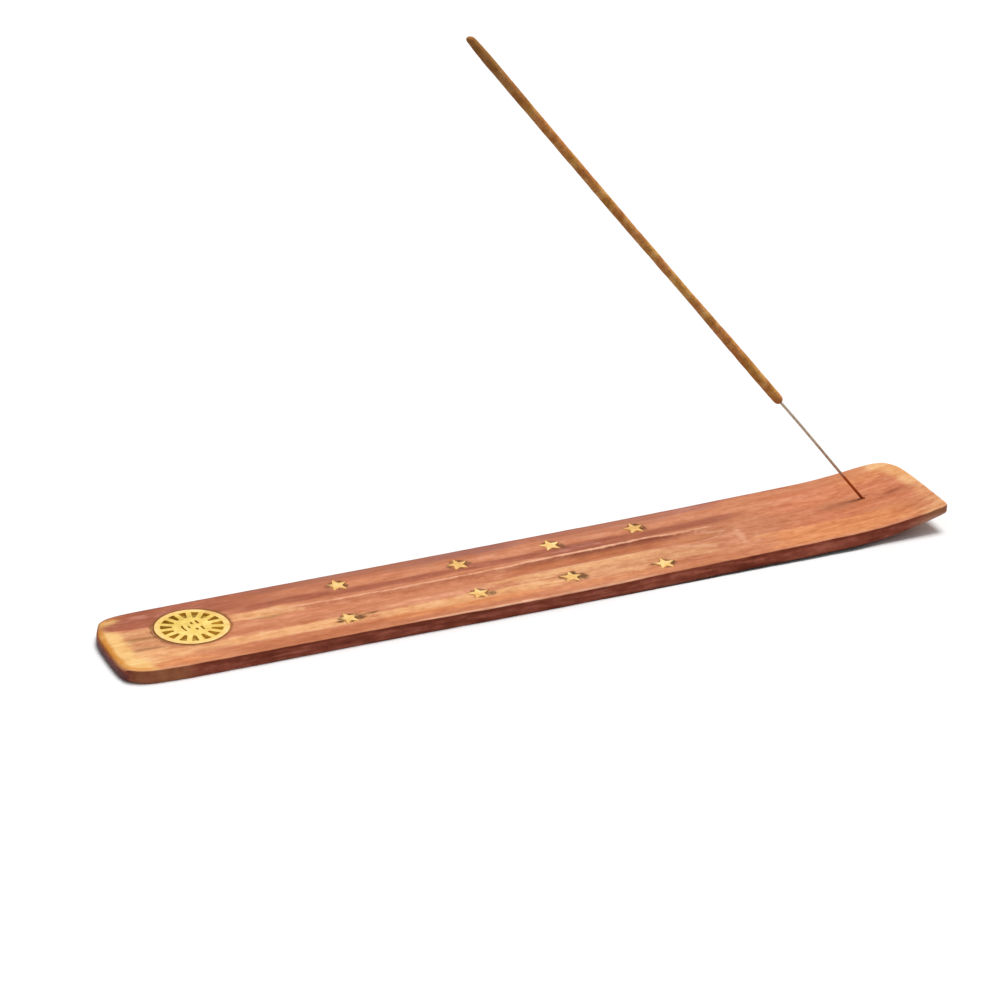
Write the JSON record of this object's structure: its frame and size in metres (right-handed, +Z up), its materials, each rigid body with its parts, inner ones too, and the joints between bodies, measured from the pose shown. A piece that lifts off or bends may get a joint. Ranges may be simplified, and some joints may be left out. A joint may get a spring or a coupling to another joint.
{
  "type": "incense stick holder",
  "caption": "Flat wooden ash catcher with an upturned end, brass sun and star inlays and a shallow ash groove, holding an incense stick that leans back over the board.",
  "frame": {"origin": "middle of the board's length and width, on the surface that the flat underside rests on", "axes": "+X along the board from the sun end to the upturned end, +Y to the far side, +Z up"},
  "size_m": [0.2572, 0.038, 0.1681],
  "materials": {
    "stained_wood": "reddish brown stain, rubbed pale along the ends and edges",
    "brass": "sheet brass, sanded flush with fine scratches",
    "dark_filler": "matt dark brown filler",
    "bamboo": "bare split bamboo with fine fibres",
    "incense_paste": "rough hand-rolled wood powder paste"
  },
  "bodies": {
    "board": {"ash_board": "stained_wood", "sun_inlay": "brass", "sun_filler": "dark_filler", "star_far_1": "brass", "star_far_2": "brass", "star_far_3": "brass", "star_far_4": "brass", "star_near_1": "brass", "star_near_2": "brass", "star_near_3": "brass", "star_near_4": "brass", "star_far_1_filler": "dark_filler", "star_far_2_filler": "dark_filler", "star_far_3_filler": "dark_filler", "star_far_4_filler": "dark_filler", "star_near_1_filler": "dark_filler", "star_near_2_filler": "dark_filler", "star_near_3_filler": "dark_filler", "star_near_4_filler": "dark_filler"},
    "stick": {"bamboo_core": "bamboo", "incense_paste": "incense_paste"}
  },
  "joints": [
    {"name": "stick_lift", "type": "slide", "parent": "board", "child": "stick", "axis": [-0.6225, 0, 0.7826], "range_m": [0, 0.03]}
  ]
}
